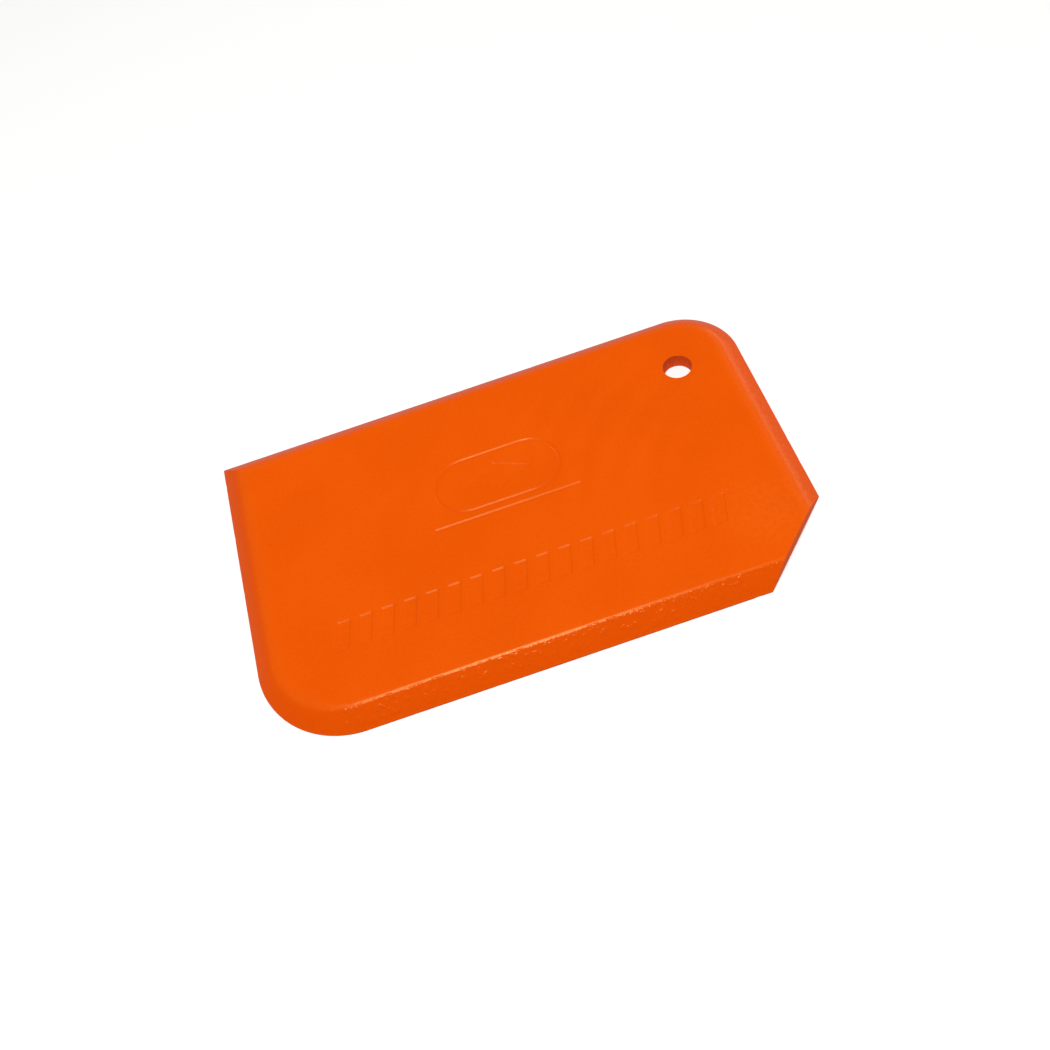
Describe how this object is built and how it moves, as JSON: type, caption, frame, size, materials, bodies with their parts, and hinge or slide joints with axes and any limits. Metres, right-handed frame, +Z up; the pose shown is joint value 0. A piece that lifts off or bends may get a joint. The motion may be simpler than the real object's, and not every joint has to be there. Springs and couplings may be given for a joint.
{
  "type": "squeegee applicator",
  "caption": "Flat rigid plastic hand squeegee for pressing down vinyl film, with a bevelled rim, a straight cut corner, rounded corners and a hang hole.",
  "frame": {"origin": "middle of the underside, at the centre of the outline's box", "axes": "+X along the long edges towards the hang hole, +Y across the card towards the long edge beside the hang hole, +Z up out of the marked face"},
  "size_m": [0.1016, 0.0636, 0.003],
  "materials": {
    "orange_plastic": "opaque orange moulded plastic, satin face with fine mould texture and sunken marks, grainier bevels"
  },
  "bodies": {
    "root": {"squeegee_blade": "orange_plastic"}
  },
  "joints": []
}
